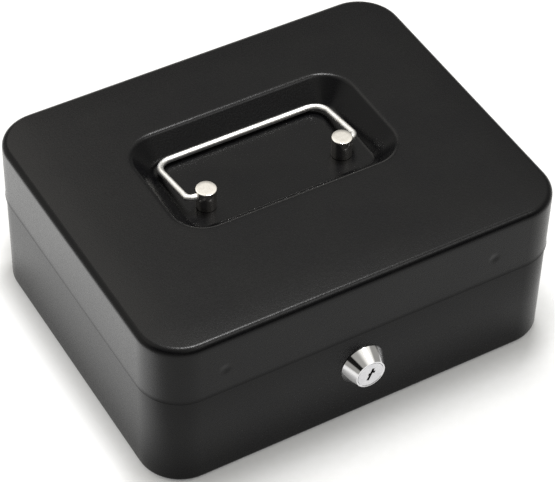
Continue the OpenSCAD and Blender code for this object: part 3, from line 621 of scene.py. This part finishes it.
# the pieces that the box hides: finish, width of the rounded edges in mm, nodes
hiddenSet = ((coat, 0.12, ("base_hinge_leaf", "lid_hinge_leaf")),
             (coat, 0.15, ("lid_catch", "tray_ledge_left", "tray_ledge_right")),
             (zinc, 0.1, ("hinge_pin", "base_rivets", "lid_rivets", "post_washers", "post_screws",
                          "lock_washer", "lock_nut", "cam_washer", "cam_screw")),
             (zinc, 0.15, ("lock_cam",)),
             (plastic, 0.3, ("coin_tray",)))
for finish, edge, nodes in hiddenSet:
    for node in nodes:
        dress(node, finish, edge)
print("hidden pieces dressed")

# the camera: its focal length in pixels of the render's width, angles in degrees, places in mm
cameraSet = {"pixelsLong": 2379.54, "imageWidth": 555, "sensor": 36, "azimuth": -31.07,
             "elevation": 45.03, "roll": 1.60, "distance": 1055.34, "target": (-1.91, -6.79, 40.0)}


def placeCamera():
    s = cameraSet
    a, e, r = radians(s["azimuth"]), radians(s["elevation"]), radians(s["roll"])
    back = Vector((sin(a) * cos(e), -cos(a) * cos(e), sin(e)))
    level = Vector((cos(a), sin(a), 0.0))
    upright = back.cross(level)
    right = cos(r) * level + sin(r) * upright
    up = cos(r) * upright - sin(r) * level
    data = bpy.data.cameras.new("camera")
    data.sensor_width = s["sensor"]
    data.lens = s["pixelsLong"] * s["sensor"] / s["imageWidth"]
    camera = bpy.data.objects.new("camera", data)
    where = (Vector(s["target"]) + back * s["distance"]) * mm
    camera.matrix_world = Matrix((
        (right.x, up.x, back.x, where.x), (right.y, up.y, back.y, where.y),
        (right.z, up.z, back.z, where.z), (0, 0, 0, 1)))
    bpy.context.scene.collection.objects.link(camera)
    bpy.context.scene.camera = camera


placeCamera()

studioSet = {
    # the tent: brightness of its walls and of its ceiling, which starts between two heights
    "wall": 0.38, "ceiling": 1.24, "ceilingFrom": (0.574, 0.719), "tint": "#fffdf6",
    # soft spots on the tent: direction, inner and outer angle, strength
    "glows": (((-0.73, 0.60, 0.30), 12, 42, 0.50), ((0.20, -0.97, 0.0), 15, 50, -0.32),
              ((0.40, 0.90, 0.10), 5, 22, 0.90), ((-0.85, -0.18, 0.50), 6, 15, -0.36),
              ((-0.52, -0.40, 0.75), 12, 36, -0.80)), "darkest": 0.01,
    # name: (place in metres, width, height, watts, colour)
    "lights": {"key": ((0.24, 0.22, 1.25), 0.24, 0.24, 11.0, "#ffffff"),
               "frontTop": ((0.45, -0.50, 1.10), 0.40, 0.36, 1.8, "#ffffff"),
               "panel": ((-0.03, 0.42, 0.50), 0.24, 0.34, 0.34, "#fffaf2")}, "aim": (0, 0, 0.03),
    # the floor, in mm: half its width, and its height, just under the box's own foot
    "floorHalf": 3000, "floorZ": -0.1,
}


def areaLight(name, place, width, height, watts, colour):
    data = bpy.data.lights.new(name, "AREA")
    data.shape = "RECTANGLE"
    data.size, data.size_y = width, height
    data.energy = watts
    data.color = linear(colour)[:3]
    lamp = bpy.data.objects.new(name, data)
    lamp.location = place
    lamp.rotation_euler = (Vector(studioSet["aim"]) - Vector(place)).to_track_quat("-Z", "Y").to_euler()
    bpy.context.scene.collection.objects.link(lamp)


def buildStudio():
    s = studioSet
    for name, values in s["lights"].items():
        areaLight(name, *values)
    world = bpy.data.worlds.new("studio")
    world.use_nodes = True
    bpy.context.scene.world = world
    tree = world.node_tree
    ground = tree.nodes["Background"]
    ground.inputs["Color"].default_value = linear(s["tint"])
    toward = addNode(tree, "ShaderNodeTexCoord").outputs["Generated"]
    height = addNode(tree, "ShaderNodeSeparateXYZ", links={"Vector": toward}).outputs["Z"]
    total = addNode(tree, "ShaderNodeMapRange", {"interpolation_type": "SMOOTHSTEP",
                                                 "From Min": s["ceilingFrom"][0],
                                                 "From Max": s["ceilingFrom"][1],
                                                 "To Min": s["wall"], "To Max": s["ceiling"]},
                    {"Value": height}).outputs["Result"]
    for direction, inner, outer, strength in s["glows"]:
        near = addNode(tree, "ShaderNodeVectorMath", {"operation": "DOT_PRODUCT"}, {0: toward})
        near.inputs[1].default_value = Vector(direction).normalized()
        glow = addNode(tree, "ShaderNodeMapRange", {"interpolation_type": "SMOOTHSTEP",
                                                    "From Min": cos(radians(outer)),
                                                    "From Max": cos(radians(inner)),
                                                    "To Min": 0.0, "To Max": strength},
                       {"Value": near.outputs["Value"]})
        total = addNode(tree, "ShaderNodeMath", {"operation": "ADD"},
                        {0: total, 1: glow.outputs["Result"]}).outputs["Value"]
    kept = addNode(tree, "ShaderNodeMath", {"operation": "MAXIMUM"}, {0: total})
    kept.inputs[1].default_value = s["darkest"]
    tree.links.new(kept.outputs["Value"], ground.inputs["Strength"])
    half, z = s["floorHalf"], s["floorZ"]
    floor = meshObject("floor", [(-half, -half, z), (half, -half, z), (half, half, z), (-half, half, z)],
                       [(0, 1, 2, 3)])
    floor.data.materials.append(paintedLightFloor())


buildStudio()
bpy.context.scene.view_settings.view_transform = "Standard"
print("studio made")
